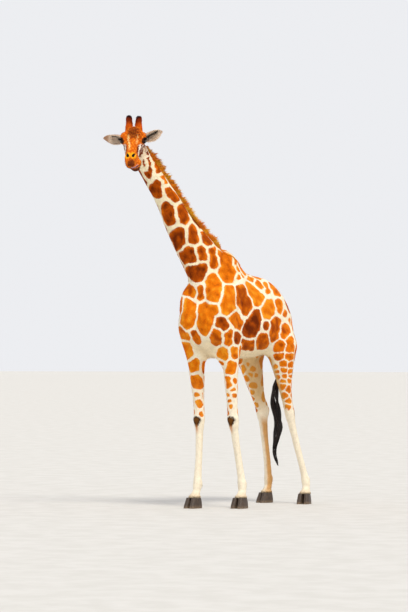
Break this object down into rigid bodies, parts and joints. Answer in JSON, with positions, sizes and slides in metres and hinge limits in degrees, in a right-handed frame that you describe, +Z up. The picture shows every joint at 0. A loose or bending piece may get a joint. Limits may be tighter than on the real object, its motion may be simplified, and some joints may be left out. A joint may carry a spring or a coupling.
{
  "type": "reticulated giraffe",
  "caption": "Life-size still reticulated giraffe standing on its hooves, neck leaning forward and to its right, face turned left, tail tuft hanging between the hind legs.",
  "frame": {"origin": "on the floor under the middle of the bounding box", "axes": "+X is the animal's left, +Y runs from the chest to the tail, +Z is up; the chest faces -Y"},
  "size_m": [1.3068, 2.9032, 4.5649],
  "materials": {
    "coat": "short flat fur, red-brown patches in a cream net",
    "mane": "stiff upright hair",
    "horn": "furred horns with near-black hairy tips",
    "hoof": "dull horn",
    "eye": "wet and glossy, near black",
    "tail_hair": "long glossy black hair"
  },
  "bodies": {
    "root": {"ear_left": "coat", "ear_right": "coat", "eye_left": "eye", "eye_right": "eye", "head": "coat", "hoof_fore_left_inner": "hoof", "hoof_fore_left_outer": "hoof", "hoof_fore_right_inner": "hoof", "hoof_fore_right_outer": "hoof", "hoof_hind_left_inner": "hoof", "hoof_hind_left_outer": "hoof", "hoof_hind_right_inner": "hoof", "hoof_hind_right_outer": "hoof", "leg_fore_left": "coat", "leg_fore_right": "coat", "leg_hind_left": "coat", "leg_hind_right": "coat", "mane": "mane", "neck": "coat", "ossicone_left": "horn", "ossicone_right": "horn", "tail": "coat", "tail_tuft": "tail_hair", "trunk": "coat"}
  },
  "joints": []
}
